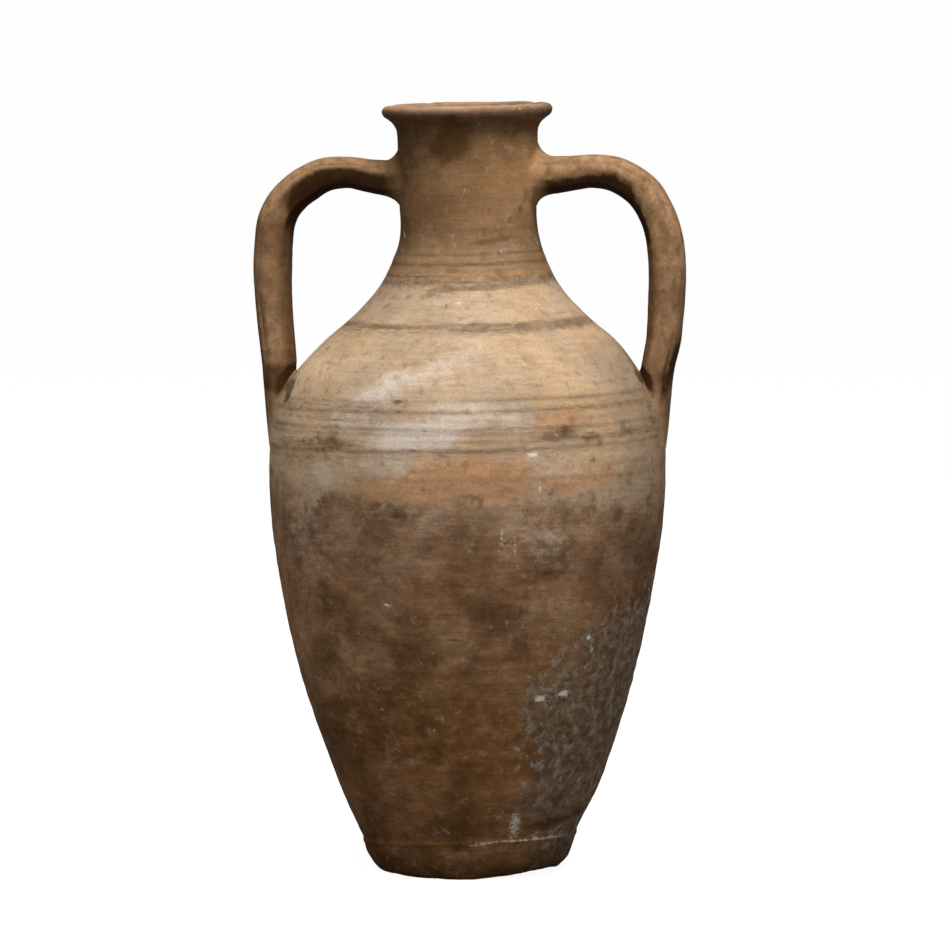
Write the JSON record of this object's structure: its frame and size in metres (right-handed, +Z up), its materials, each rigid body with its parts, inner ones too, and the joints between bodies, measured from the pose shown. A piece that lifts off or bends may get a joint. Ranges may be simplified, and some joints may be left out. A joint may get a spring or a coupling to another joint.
{
  "type": "amphora",
  "caption": "Tall two-handled clay storage jar with a flared rim, straight neck, full shoulder, tapering belly and ring foot.",
  "frame": {"origin": "centre of the foot's resting face, on the surface the jar stands on", "axes": "+Z up along the jar's axis, +X towards the right handle, +Y away from the front"},
  "size_m": [0.3387, 0.3092, 0.6],
  "materials": {
    "clay_foot": "dark burnt clay, matt and worn",
    "clay_belly": "brown fired clay, matt, stained",
    "clay_shoulder": "pale buff slip over fired clay, matt",
    "clay_neck": "brown fired clay, matt",
    "clay_rim": "buff fired clay, matt and rubbed",
    "clay_handles": "brown fired clay, matt, rubbed on the outside"
  },
  "bodies": {
    "root": {"foot_ring": "clay_foot", "lower_body": "clay_belly", "shoulder": "clay_shoulder", "neck": "clay_neck", "rim": "clay_rim", "handle_left": "clay_handles", "handle_right": "clay_handles"}
  },
  "joints": []
}
